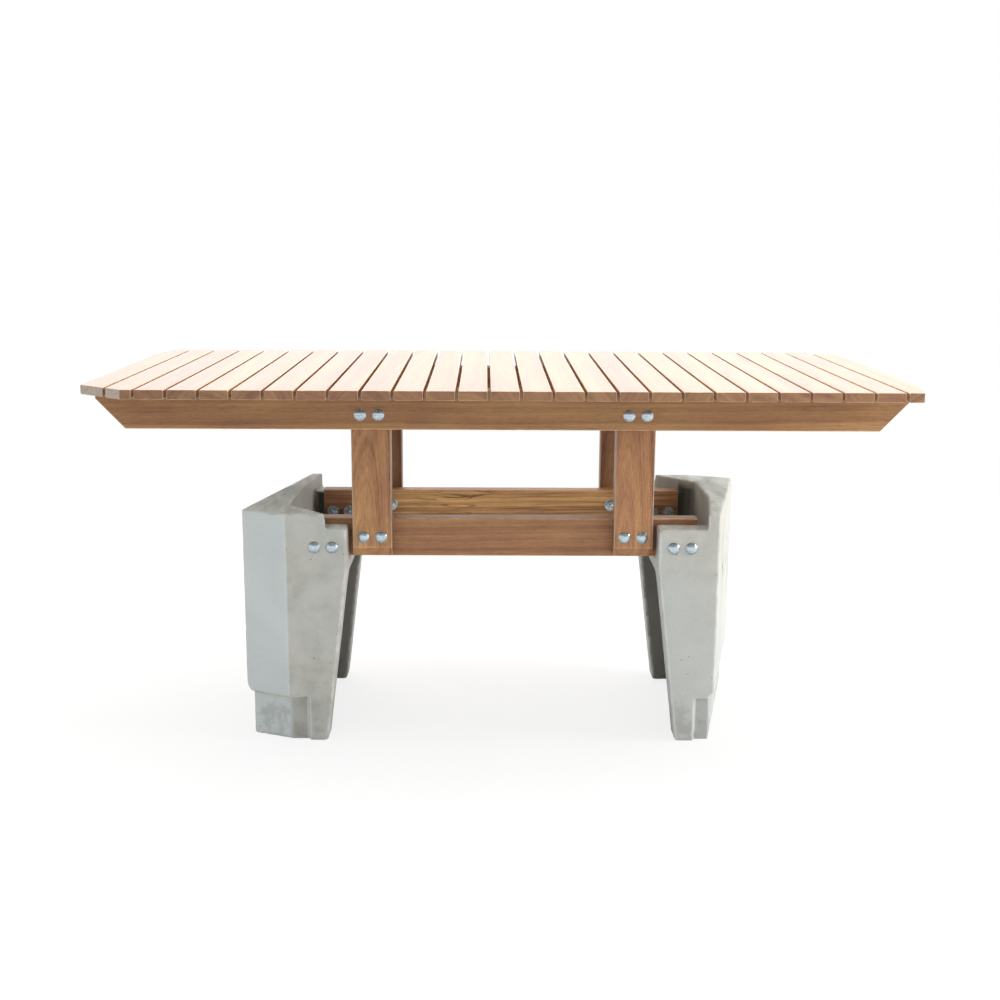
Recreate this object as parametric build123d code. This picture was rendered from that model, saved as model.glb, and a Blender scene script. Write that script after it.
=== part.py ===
"""Slatted outdoor table on two cast concrete end legs.

Crosswise timber slats lie on two long top rails. Each top rail is bolted to a pair of flat posts, the
posts are bolted to two lower rails, and the lower rails are bolted inside the arms of two U-shaped
concrete legs. Every bolt is a galvanised cup-head bolt with a washer and a nut on the inner side.

Millimetres. X runs along the table, Y across it, Z up. The origin is on the floor, under the middle
of the top. The object looks the same after half a turn about Z, so each part is made once for the
front or the left and turned or mirrored into its other places.
"""
from build123d import *
from math import atan2, degrees, hypot
import os

# --- Top -------------------------------------------------------------------------------------------
TOP_HEIGHT = 755
SLAT_COUNT = 27
SLAT_WIDTH = 54
SLAT_GAP = 6
SLAT_LENGTH = 796
SLAT_THICKNESS = 18
SLAT_EDGE_RADIUS = 2
WIDE_CORNER = (93, 75)       # X and Y legs of the corner cut at front left and back right
STEEP_CORNER = (26, 123)     # the same at front right and back left

# --- Timber frame ----------------------------------------------------------------------------------
RAIL_HEIGHT = 80
RAIL_THICKNESS = 35
TIMBER_EDGE_RADIUS = 2
TOP_RAIL_LENGTH = 1612
TOP_RAIL_CORNER_CUT = (57, 60)   # X and Z legs of the cut under each end
POST_FACE = 198              # half the distance over the outer faces of the posts
POST_WIDTH = 80
POST_THICKNESS = 32
POST_X = 267
POST_BOTTOM = 390
POST_BEVEL = (13, 19)        # Y and Z legs of the bevel at the foot of the outer face
LOWER_RAIL_BOTTOM = 383.5
LOWER_RAIL_LENGTH = 806

# --- Concrete legs (the left one, seen from above) ---------------------------------------------------
LEG_FACE = 224               # half the depth over the outer faces of the arms
LEG_TOP = 484.5
OUTER_CORNER = (-535, -183)  # the widest point of the plan
FACET_X = -441               # where the arms' outer faces end
WALL_INNER_X = -442          # inner face of the end wall
WALL_BEND_Y = 44             # from here back the wall's inner face turns inward
WALL_BACK_INNER_X = -416
GUSSET_Y = -134              # where the diagonal inner face of the front arm's top begins
ARM_TIP_X = -356             # where that diagonal meets the front face
ARM_TIP_SLOPE = 6            # run of the sloping step at the tip
ARM_END_X = -316
ARM_TAPER = 45               # how far the arm's end leans back by the floor
ARM_TAPER_TOP = 370
NOTCH_FLOOR = 452
GUSSET_BOTTOM = 464
ARM_INNER_Y = 166            # inner face of the arms, against the lower rails
PORTAL_TOP = 350             # soffit of the opening between the arms
PORTAL_RADIUS = 22
SKIRT_BOTTOM = 94
PLINTH_INSET = 11
PLINTH_END_X = -401          # nearer the middle than this, the arms run down to the floor
SKIRT_CHAMFER = 12
SOCKET_ALONG = 160           # lifting pocket, measured along the outer wall from the nearer arm
SOCKET_Z = 332
SOCKET_SIZE = (56, 26)
SOCKET_DEPTH = 18

# --- Fixings ---------------------------------------------------------------------------------------
BOLT_DIAMETER = 10
BOLT_HOLE = 11
CUP_DIAMETER = 24.6
CUP_HEIGHT = 5.4
NECK_SIDE = 10
NECK_DEPTH = 5
NECK_POCKET = 10.6
THREAD_OVERHANG = 4
NUT_ACROSS_FLATS = 17
NUT_HEIGHT = 8.4
NUT_CHAMFER = 0.4
WASHER_DIAMETER = 26
WASHER_THICKNESS = 2
BOLT_SPACING = 36
TOP_BOLT_Z = 687
POST_BOLT_Z = 430
LEG_BOLT_X = 365
LEG_BOLT_Z = 414
SCREW_DIAMETER = 5
SCREW_LENGTH = 44
SCREW_IN_SLAT = 13
SCREW_HEAD_DIAMETER = 10
SCREW_HEAD_HEIGHT = 3
SCREW_ACCESS_DIAMETER = 12
BOLT_CLEARANCE = 14          # least distance in X between a screw and a bolt

# --- Worked out from the above -----------------------------------------------------------------------
SLAT_PITCH = SLAT_WIDTH + SLAT_GAP
TOP_LENGTH = SLAT_COUNT * SLAT_PITCH - SLAT_GAP
SLAT_BOTTOM = TOP_HEIGHT - SLAT_THICKNESS
TOP_RAIL_BOTTOM = SLAT_BOTTOM - RAIL_HEIGHT
TOP_RAIL_Y = POST_FACE + RAIL_THICKNESS / 2
POST_INNER = POST_FACE - POST_THICKNESS
LOWER_RAIL_Y = POST_INNER - RAIL_THICKNESS / 2
LOWER_RAIL_INNER = POST_INNER - RAIL_THICKNESS
SCREW_BOTTOM = SLAT_BOTTOM + SCREW_IN_SLAT - SCREW_LENGTH
PAIR = (-BOLT_SPACING / 2, BOLT_SPACING / 2)
POST_BOLTS_X = [side * POST_X + off for side in (-1, 1) for off in PAIR]
LEG_BOLTS_X = [side * LEG_BOLT_X + off for side in (-1, 1) for off in PAIR]


def half_turn(shape):
    """The same shape in its other place, half a turn about the table's middle."""
    return Rot(0, 0, 180) * shape


def prism(outline, bottom, top):
    """An upright prism over a plan outline."""
    return Pos(0, 0, bottom) * extrude(make_face(Polyline(outline, close=True)), top - bottom)


def rounded_bar(length, depth, height, radius):
    """A planed timber along X, centred on the origin, with its long edges eased."""
    bar = Box(length, depth, height)
    return fillet(bar.edges().filter_by(Axis.X), radius)


def cross_hole(x, z, diameter, y_from, y_to):
    """A round tool that drills along Y."""
    depth = y_to - y_from
    return Pos(x, (y_from + y_to) / 2, z) * Rot(90, 0, 0) * Cylinder(diameter / 2, depth)


# --- Top slats -------------------------------------------------------------------------------------
def top_outline():
    """The eight corners of the top: its opposite corners match."""
    x = TOP_LENGTH / 2
    y = SLAT_LENGTH / 2
    wide_x, wide_y = WIDE_CORNER
    steep_x, steep_y = STEEP_CORNER
    front = [(-x, -y + wide_y), (-x + wide_x, -y), (x - steep_x, -y), (x, -y + steep_y)]
    return front + [(-px, -py) for px, py in front]


def slat_x(index):
    return (index - (SLAT_COUNT - 1) / 2) * SLAT_PITCH


def screw_x(index):
    """Screws sit on the slat's middle, moved off any frame bolt that they would meet."""
    x = slat_x(index)
    for bolt_x in POST_BOLTS_X:
        if abs(x - bolt_x) < BOLT_CLEARANCE:
            x = bolt_x + (BOLT_CLEARANCE if x > bolt_x else -BOLT_CLEARANCE)
    return x


def make_slat(index):
    bar = Box(SLAT_WIDTH, SLAT_LENGTH, SLAT_THICKNESS)
    bar = fillet(bar.edges().filter_by(Axis.Y), SLAT_EDGE_RADIUS)
    bar = Pos(slat_x(index), 0, TOP_HEIGHT - SLAT_THICKNESS / 2) * bar
    slat = bar & prism(top_outline(), SLAT_BOTTOM - 1, TOP_HEIGHT + 1)
    for side in (-1, 1):
        hole = Cylinder(SCREW_DIAMETER / 2, SCREW_IN_SLAT)
        slat -= Pos(screw_x(index), side * TOP_RAIL_Y, SLAT_BOTTOM + SCREW_IN_SLAT / 2) * hole
    return slat


# --- Timber frame ----------------------------------------------------------------------------------
def make_top_rail():
    """The front rail: bevelled under both ends, drilled for the post bolts and the slat screws."""
    rail = rounded_bar(TOP_RAIL_LENGTH, RAIL_THICKNESS, RAIL_HEIGHT, TIMBER_EDGE_RADIUS)
    rail = Pos(0, -TOP_RAIL_Y, TOP_RAIL_BOTTOM + RAIL_HEIGHT / 2) * rail
    cut_x, cut_z = TOP_RAIL_CORNER_CUT
    end = TOP_RAIL_LENGTH / 2
    for side in (-1, 1):
        points = [(side * (end - cut_x), TOP_RAIL_BOTTOM), (side * (end + 1), TOP_RAIL_BOTTOM)]
        points.append((side * (end + 1), TOP_RAIL_BOTTOM + cut_z * (1 + 1 / cut_x)))
        wedge = make_face(Plane.XZ * Polyline(points, close=True))
        rail -= extrude(wedge, 2 * LEG_FACE, both=True)
    for x in POST_BOLTS_X:
        rail -= cross_hole(x, TOP_BOLT_Z, BOLT_HOLE, -TOP_RAIL_Y - RAIL_THICKNESS, -POST_FACE + 1)
        rail -= neck_pocket(x, TOP_BOLT_Z, -POST_FACE - RAIL_THICKNESS)
    access = SCREW_BOTTOM + SCREW_HEAD_HEIGHT - TOP_RAIL_BOTTOM
    access_hole = Cylinder(SCREW_ACCESS_DIAMETER / 2, access)
    shank = SLAT_BOTTOM - SCREW_BOTTOM
    shank_hole = Cylinder(SCREW_DIAMETER / 2, shank)
    for index in range(SLAT_COUNT):
        rail -= Pos(screw_x(index), -TOP_RAIL_Y, TOP_RAIL_BOTTOM + access / 2) * access_hole
        rail -= Pos(screw_x(index), -TOP_RAIL_Y, SLAT_BOTTOM - shank / 2) * shank_hole
    return rail


def make_post():
    """The front left post, with a weathering bevel at its foot."""
    height = SLAT_BOTTOM - POST_BOTTOM
    post = Box(POST_WIDTH, POST_THICKNESS, height)
    post = fillet(post.edges().filter_by(Axis.Z), TIMBER_EDGE_RADIUS)
    post = Pos(-POST_X, -(POST_FACE + POST_INNER) / 2, POST_BOTTOM + height / 2) * post
    bevel_y, bevel_z = POST_BEVEL
    corner = [(-POST_FACE, POST_BOTTOM), (-POST_FACE + bevel_y, POST_BOTTOM)]
    corner.append((-POST_FACE, POST_BOTTOM + bevel_z))
    bevel = make_face(Plane.YZ * Polyline(corner, close=True))
    post -= extrude(bevel, 2 * POST_X, both=True)
    for x in POST_BOLTS_X[:2]:
        post -= cross_hole(x, TOP_BOLT_Z, BOLT_HOLE, -POST_FACE - 1, -POST_INNER + 1)
        post -= cross_hole(x, POST_BOLT_Z, BOLT_HOLE, -POST_FACE - 1, -POST_INNER + 1)
        post -= neck_pocket(x, POST_BOLT_Z, -POST_FACE)
    return post


def make_lower_rail():
    """The front lower rail, drilled for the posts and for the legs."""
    rail = rounded_bar(LOWER_RAIL_LENGTH, RAIL_THICKNESS, RAIL_HEIGHT, TIMBER_EDGE_RADIUS)
    rail = Pos(0, -LOWER_RAIL_Y, LOWER_RAIL_BOTTOM + RAIL_HEIGHT / 2) * rail
    for xs, z in ((POST_BOLTS_X, POST_BOLT_Z), (LEG_BOLTS_X, LEG_BOLT_Z)):
        for x in xs:
            rail -= cross_hole(x, z, BOLT_HOLE, -POST_INNER - 1, -LOWER_RAIL_INNER + 1)
    return rail


# --- Concrete legs ---------------------------------------------------------------------------------
def outer_plan(end_x):
    """Plan of the leg's outer skin, closed along the line X = end_x."""
    return [(end_x, -LEG_FACE), (FACET_X, -LEG_FACE), OUTER_CORNER, (FACET_X, LEG_FACE), (end_x, LEG_FACE)]


def leg_body():
    """Skirt and arms up to the notch floor, then the taller outer part with its diagonal inner face."""
    lower = prism(outer_plan(ARM_END_X), SKIRT_BOTTOM, NOTCH_FLOOR)
    under_edges = lower.edges().group_by(Axis.Z)[0]
    outer_edges = under_edges.filter_by(lambda edge: edge.center().X < FACET_X)
    lower = chamfer(outer_edges.sort_by(SortBy.LENGTH)[-1], SKIRT_CHAMFER)
    crown_plan = outer_plan(WALL_BACK_INNER_X)[1:]
    crown_plan += [(WALL_INNER_X, WALL_BEND_Y), (WALL_INNER_X, GUSSET_Y), (ARM_TIP_X, -LEG_FACE)]
    crown = prism(crown_plan, NOTCH_FLOOR, LEG_TOP)
    step = [(ARM_TIP_X, NOTCH_FLOOR), (ARM_TIP_X - ARM_TIP_SLOPE, LEG_TOP), (ARM_TIP_X, LEG_TOP)]
    crown -= extrude(make_face(Plane.XZ * Polyline(step, close=True)), LEG_FACE + 1, both=True)
    return lower + crown


def leg_inside():
    """The room between the arms: above the shelf it is open, below it is a round-cornered portal."""
    share = (LEG_FACE - ARM_INNER_Y) / (LEG_FACE - WALL_BEND_Y)
    back_x = WALL_BACK_INNER_X + (WALL_INNER_X - WALL_BACK_INNER_X) * share
    plan = [(ARM_END_X + 1, -ARM_INNER_Y), (WALL_INNER_X, -ARM_INNER_Y), (WALL_INNER_X, WALL_BEND_Y)]
    plan += [(back_x, ARM_INNER_Y), (ARM_END_X + 1, ARM_INNER_Y)]
    above_shelf = prism(plan, LOWER_RAIL_BOTTOM, GUSSET_BOTTOM)
    portal = Pos(0, 0, PORTAL_TOP / 2) * Box(4 * LEG_FACE, 2 * ARM_INNER_Y, PORTAL_TOP)
    portal = fillet(portal.edges().filter_by(Axis.X).group_by(Axis.Z)[-1], PORTAL_RADIUS)
    return above_shelf + (portal & prism(plan, 0, PORTAL_TOP))


def leg_plinth():
    """Foot of the leg: set in under the skirt, but full depth where the arms reach the floor."""
    skirt_plan = make_face(Polyline(outer_plan(ARM_END_X), close=True))
    plinth = extrude(offset(skirt_plan, -PLINTH_INSET, kind=Kind.INTERSECTION), SKIRT_BOTTOM)
    foot_length = ARM_END_X - PLINTH_END_X
    foot_x = ARM_END_X - foot_length / 2
    feet = Pos(foot_x, 0, SKIRT_BOTTOM / 2) * Box(foot_length, 2 * LEG_FACE, SKIRT_BOTTOM)
    return plinth + feet


def lifting_pocket():
    """A shallow slot in the outer wall, square to the wall's face."""
    run = (FACET_X - OUTER_CORNER[0], LEG_FACE - OUTER_CORNER[1])
    wall_length = hypot(*run)
    part = 1 - SOCKET_ALONG / wall_length
    place = (OUTER_CORNER[0] + run[0] * part, OUTER_CORNER[1] + run[1] * part, SOCKET_Z)
    turn = degrees(atan2(run[1], run[0]))
    slot = extrude(SlotOverall(*SOCKET_SIZE), SOCKET_DEPTH, both=True)
    return Pos(*place) * Rot(0, 0, turn) * Rot(90, 0, 0) * slot


def make_leg():
    """The left leg. The right one is the same casting, turned round."""
    leg = leg_body() + leg_plinth() - leg_inside()
    lean = [(ARM_END_X, ARM_TAPER_TOP), (ARM_END_X - ARM_TAPER, 0)]
    lean += [(ARM_END_X + 1, 0), (ARM_END_X + 1, ARM_TAPER_TOP)]
    leg -= extrude(make_face(Plane.XZ * Polyline(lean, close=True)), LEG_FACE + 1, both=True)
    leg -= lifting_pocket()
    for x in LEG_BOLTS_X[:2]:
        leg -= cross_hole(x, LEG_BOLT_Z, BOLT_HOLE, -LEG_FACE - 1, LEG_FACE + 1)
        leg -= neck_pocket(x, LEG_BOLT_Z, -LEG_FACE)
        leg -= Rot(0, 0, 180) * neck_pocket(-x, LEG_BOLT_Z, -LEG_FACE)
    return leg


# --- Fixings ---------------------------------------------------------------------------------------
def neck_pocket(x, z, face_y):
    """The square seat that stops a cup-head bolt from turning."""
    return Pos(x, face_y + NECK_DEPTH / 2, z) * Box(NECK_POCKET, NECK_DEPTH, NECK_POCKET)


def make_bolt(x, z, face_y, grip):
    """A cup-head bolt along +Y, with its head on the plane Y = face_y."""
    length = grip + WASHER_THICKNESS + NUT_HEIGHT + THREAD_OVERHANG
    sphere_radius = ((CUP_DIAMETER / 2) ** 2 + CUP_HEIGHT ** 2) / (2 * CUP_HEIGHT)
    dome = Pos(0, 0, CUP_HEIGHT - sphere_radius) * Sphere(sphere_radius)
    head = dome & Pos(0, 0, CUP_HEIGHT / 2) * Cylinder(CUP_DIAMETER / 2, CUP_HEIGHT)
    neck = Pos(0, 0, -NECK_DEPTH / 2) * Box(NECK_SIDE, NECK_SIDE, NECK_DEPTH)
    shank = Pos(0, 0, -length / 2) * Cylinder(BOLT_DIAMETER / 2, length)
    return Pos(x, face_y, z) * Rot(90, 0, 0) * (head + neck + shank)


def make_washer(x, z, seat_y):
    """A washer whose outer face is on the plane Y = seat_y."""
    return cross_hole(x, z, WASHER_DIAMETER, seat_y, seat_y + WASHER_THICKNESS) - cross_hole(
        x, z, BOLT_HOLE, seat_y - 1, seat_y + WASHER_THICKNESS + 1)


def make_nut(x, z, seat_y):
    """A hexagon nut against the washer, with chamfered corners."""
    nut = extrude(RegularPolygon(NUT_ACROSS_FLATS / 2, 6, major_radius=False), NUT_HEIGHT)
    flat_radius = NUT_ACROSS_FLATS / 2
    cone = Cone(flat_radius + NUT_HEIGHT, flat_radius, NUT_HEIGHT)
    nut &= Pos(0, 0, NUT_HEIGHT / 2 + NUT_CHAMFER) * cone
    nut -= Cylinder(BOLT_DIAMETER / 2, 3 * NUT_HEIGHT)
    return Pos(x, seat_y + WASHER_THICKNESS, z) * Rot(-90, 0, 0) * nut


def fixing_sets():
    """For each kind of joint at the front: bolt places, head plane and seat plane of the washer."""
    rail_face = -POST_FACE - RAIL_THICKNESS
    return {
        "top_rail_bolts": (POST_BOLTS_X, TOP_BOLT_Z, rail_face, -POST_INNER),
        "lower_rail_bolts": (POST_BOLTS_X, POST_BOLT_Z, -POST_FACE, -LOWER_RAIL_INNER),
        "leg_bolts": (LEG_BOLTS_X, LEG_BOLT_Z, -LEG_FACE, -LOWER_RAIL_INNER),
    }


def both_sides(shapes):
    """Front shapes and their half-turned twins at the back, as one group of separate solids."""
    return Compound(children=list(shapes) + [half_turn(shape) for shape in shapes])


def make_screw(index):
    """A countersunk screw, driven up through the front top rail into a slat."""
    shank = Cylinder(SCREW_DIAMETER / 2, SCREW_LENGTH)
    head = Cylinder(SCREW_HEAD_DIAMETER / 2, SCREW_HEAD_HEIGHT)
    head = Pos(0, 0, (SCREW_HEAD_HEIGHT - SCREW_LENGTH) / 2) * head
    return Pos(screw_x(index), -TOP_RAIL_Y, SCREW_BOTTOM + SCREW_LENGTH / 2) * (shank + head)


# --- Assembly --------------------------------------------------------------------------------------
def all_parts():
    parts = {f"slat_{index + 1:02d}": make_slat(index) for index in range(SLAT_COUNT)}
    top_rail = make_top_rail()
    lower_rail = make_lower_rail()
    post = make_post()
    leg = make_leg()
    parts["top_rail_front"] = top_rail
    parts["top_rail_back"] = half_turn(top_rail)
    parts["lower_rail_front"] = lower_rail
    parts["lower_rail_back"] = half_turn(lower_rail)
    parts["post_front_left"] = post
    parts["post_back_right"] = half_turn(post)
    parts["post_front_right"] = mirror(post, Plane.YZ)
    parts["post_back_left"] = mirror(post, Plane.XZ)
    parts["leg_left"] = leg
    parts["leg_right"] = half_turn(leg)
    washers = []
    nuts = []
    for name, (xs, z, face_y, seat_y) in fixing_sets().items():
        parts[name] = both_sides([make_bolt(x, z, face_y, seat_y - face_y) for x in xs])
        washers += [make_washer(x, z, seat_y) for x in xs]
        nuts += [make_nut(x, z, seat_y) for x in xs]
    parts["bolt_washers"] = both_sides(washers)
    parts["bolt_nuts"] = both_sides(nuts)
    parts["slat_screws"] = both_sides([make_screw(index) for index in range(SLAT_COUNT)])
    return parts


os.makedirs("parts", exist_ok=True)
for part_name, part_shape in all_parts().items():
    export_step(part_shape, f"parts/{part_name}.step")
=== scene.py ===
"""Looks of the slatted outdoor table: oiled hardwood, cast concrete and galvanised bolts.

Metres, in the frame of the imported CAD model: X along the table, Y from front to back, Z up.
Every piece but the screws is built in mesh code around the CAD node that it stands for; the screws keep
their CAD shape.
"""
import math
import random

import bmesh
import bpy
from mathutils import Matrix, Vector, noise
from mathutils.bvhtree import BVHTree
from mathutils.kdtree import KDTree


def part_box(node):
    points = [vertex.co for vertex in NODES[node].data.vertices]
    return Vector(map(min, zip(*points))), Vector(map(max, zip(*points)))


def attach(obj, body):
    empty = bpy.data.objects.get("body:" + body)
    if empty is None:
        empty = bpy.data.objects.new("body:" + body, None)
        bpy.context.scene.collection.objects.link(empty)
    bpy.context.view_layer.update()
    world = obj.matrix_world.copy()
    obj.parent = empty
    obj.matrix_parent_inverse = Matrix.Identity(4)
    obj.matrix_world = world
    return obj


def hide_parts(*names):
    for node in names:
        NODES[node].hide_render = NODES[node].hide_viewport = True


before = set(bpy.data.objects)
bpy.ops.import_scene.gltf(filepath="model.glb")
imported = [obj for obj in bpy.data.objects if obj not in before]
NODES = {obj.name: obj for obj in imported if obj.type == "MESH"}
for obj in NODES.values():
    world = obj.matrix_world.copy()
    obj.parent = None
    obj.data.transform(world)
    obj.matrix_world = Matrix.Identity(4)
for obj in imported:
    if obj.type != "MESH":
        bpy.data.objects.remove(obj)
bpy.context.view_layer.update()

# --- Names of CAD nodes ---------------------------------------------------------------------------------
SLATS = [f"slat_{number:02d}" for number in range(1, 28)]
BOLT_NODES = ("top_rail_bolts", "lower_rail_bolts", "leg_bolts")

# --- Sizes, in metres -----------------------------------------------------------------------------------
SLAT_ROUNDING = 0.002
BEAM_ROUNDING = 0.002
END_EASING = 0.0008
WIDE_CORNER = (0.093, 0.075)        # legs in X and Y of the cuts at the top's front left and back right
STEEP_CORNER = (0.026, 0.123)       # the same at its front right and back left
RAIL_CORNER_CUT = (0.057, 0.060)    # legs in X and Z of the cut under each end of a top rail
POST_FOOT_BEVEL = (0.013, 0.019)    # legs in Y and Z
BOLT_RADIUS = 0.005
BOLT_HOLE_RADIUS = 0.0055
CUP_RADIUS = 0.0123
CUP_HEIGHT = 0.0054
THREAD_PITCH = 0.0015
THREAD_DEPTH = 0.0007
THREAD_LENGTH = 0.026
STEEL_EASING = 0.0003
NUT_ACROSS_FLATS = 0.017
SCREW_HOLE_RADIUS = 0.0025
SCREW_HEAD_HEIGHT = 0.003
ACCESS_HOLE_RADIUS = 0.006          # the wide hole below a screw's head
CASTING_VOXEL = 0.003
ARRIS_ROUNDING = 0.0055             # how far from an arris the castings' rounding begins
ARM_END_ROUNDING = 0.010            # the same at the arms' ends
CASTING_WAVE = 0.0006
CASTING_RIPPLE = 0.00018
CHIP_DEPTH = 0.005
SKIRT_BOTTOM = 0.094
ARM_INNER_Y = 0.166                 # inner faces of a leg's arms
ARM_END_X = 0.316
ARM_TAPER = 0.045                   # how far an arm's end leans back by the floor
ARM_TAPER_TOP = 0.370
PLINTH_END = 0.401                  # nearer the middle than this, the arms run down to the floor
ARM_OUTER_END = 0.441               # where the arms' outer faces end and the facets begin
LOWER_RAIL_END, LOWER_RAIL_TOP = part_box("lower_rail_front")[1].xz

# --- Directions, shares and the camera ------------------------------------------------------------------
X_AXIS = Vector((1, 0, 0))
Y_AXIS = Vector((0, 1, 0))
Z_AXIS = Vector((0, 0, 1))
FACET_NORMAL = (-0.40, -0.917, 0)   # of the left leg's front facet, and opposite to the right leg's back one
# Strengths of painted shade on the arms' inner faces and in the recess under the skirt.
ARM_PAINTED_SHADE = 0.72
RECESS_PAINTED_SHADE = 0.18
CAMERA_PLACE = (-0.0370, -2.9061, 1.0659)
CAMERA_TURN = (0.648, 11.631, 0.337)        # to the right, down and anticlockwise, in degrees
SENSOR_WIDTH = 36.0                         # millimetres
LENS = 1.3601 * SENSOR_WIDTH


# --- Mesh helpers ---------------------------------------------------------------------------------------
def publish(mesh, name, node, material):
    """Links a finished mesh as the piece that stands for a CAD node."""
    mesh.materials.clear()
    mesh.materials.append(material)
    piece = bpy.data.objects.new(name, mesh)
    bpy.context.scene.collection.objects.link(piece)
    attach(piece, "root")
    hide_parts(node)
    return piece


def mesh_from(bm, name):
    bmesh.ops.recalc_face_normals(bm, faces=bm.faces)
    mesh = bpy.data.meshes.new(name)
    bm.to_mesh(mesh)
    bm.free()
    return mesh


def evaluated(mesh, *modifiers):
    """The mesh with modifiers applied. Each modifier is its type and a dict of its settings."""
    carrier = bpy.data.objects.new("carrier", mesh)
    bpy.context.scene.collection.objects.link(carrier)
    for kind, settings in modifiers:
        modifier = carrier.modifiers.new(kind, kind)
        for key, value in settings.items():
            setattr(modifier, key, value)
    graph = bpy.context.evaluated_depsgraph_get()
    result = bpy.data.meshes.new_from_object(carrier.evaluated_get(graph), depsgraph=graph)
    bpy.data.objects.remove(carrier)
    return result


def islands(node):
    """The boxes of the separate solids that share one CAD node."""
    mesh = NODES[node].data
    leader = {}

    def find(key):
        while leader[key] != key:
            leader[key] = leader[leader[key]]
            key = leader[key]
        return key

    keys = [tuple(round(c * 1e5) for c in v.co) for v in mesh.vertices]
    for key in keys:
        leader.setdefault(key, key)
    for polygon in mesh.polygons:
        first = find(keys[polygon.vertices[0]])
        for index in polygon.vertices[1:]:
            leader[find(keys[index])] = first
    groups = {}
    for key, vertex in zip(keys, mesh.vertices):
        groups.setdefault(find(key), []).append(vertex.co)
    boxes = []
    for points in groups.values():
        low = Vector([min(p[i] for p in points) for i in range(3)])
        high = Vector([max(p[i] for p in points) for i in range(3)])
        boxes.append((low, high))
    return sorted(boxes, key=lambda box: tuple(round(c, 4) for c in box[0]))


def prism(outline, axis, low, high):
    """A closed prism over a convex outline. axis is the direction it is extruded in."""
    def place(point, depth):
        parts = list(point)
        parts.insert(axis, depth)
        return Vector(parts)

    bm = bmesh.new()
    ends = [[bm.verts.new(place(p, depth)) for p in outline] for depth in (low, high)]
    for ring in ends:
        bm.faces.new(ring)
    for i in range(len(outline)):
        j = (i + 1) % len(outline)
        bm.faces.new((ends[0][i], ends[0][j], ends[1][j], ends[1][i]))
    bmesh.ops.recalc_face_normals(bm, faces=bm.faces)
    return bm


def bevel(bm, edges, size, segments):
    bmesh.ops.bevel(bm, geom=edges, offset=size, offset_type="OFFSET", segments=segments,
                    profile=0.5, affect="EDGES", clamp_overlap=True)


def lathe(bm, profile, origin, axis, steps=40):
    """Turns (radius, distance) pairs about an axis. The profile runs from axis to axis."""
    turn = axis.to_track_quat("Z", "Y").to_matrix()
    rings = []
    for radius, distance in profile:
        if radius < 1e-7:
            rings.append([bm.verts.new(origin + turn @ Vector((0, 0, distance)))])
            continue
        ring = []
        for step in range(steps):
            angle = 2 * math.pi * step / steps
            local = Vector((radius * math.cos(angle), radius * math.sin(angle), distance))
            ring.append(bm.verts.new(origin + turn @ local))
        rings.append(ring)
    join_rings(bm, rings, steps)


def join_rings(bm, rings, steps, closed=False):
    pairs = list(zip(rings, rings[1:] + rings[:1])) if closed else list(zip(rings, rings[1:]))
    for one, two in pairs:
        for step in range(steps):
            after = (step + 1) % steps
            corners = [one[step % len(one)], one[after % len(one)],
                       two[after % len(two)], two[step % len(two)]]
            unique = list(dict.fromkeys(corners))
            if len(unique) > 2:
                bm.faces.new(unique)


def rod(bm, start, end, radius, steps=24):
    """A plain round cutter between two points."""
    length = (end - start).length
    profile = [(0, 0), (radius, 0), (radius, length), (0, length)]
    lathe(bm, profile, start, (end - start).normalized(), steps)


def carved(mesh, cutters):
    """The mesh less the cutters' volume."""
    if not cutters.verts:
        cutters.free()
        return mesh
    tool = bpy.data.objects.new("tool", mesh_from(cutters, "tool"))
    bpy.context.scene.collection.objects.link(tool)
    result = evaluated(mesh, ("BOOLEAN", {"object": tool, "operation": "DIFFERENCE", "solver": "EXACT"}))
    bpy.data.objects.remove(tool)
    return result


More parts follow.
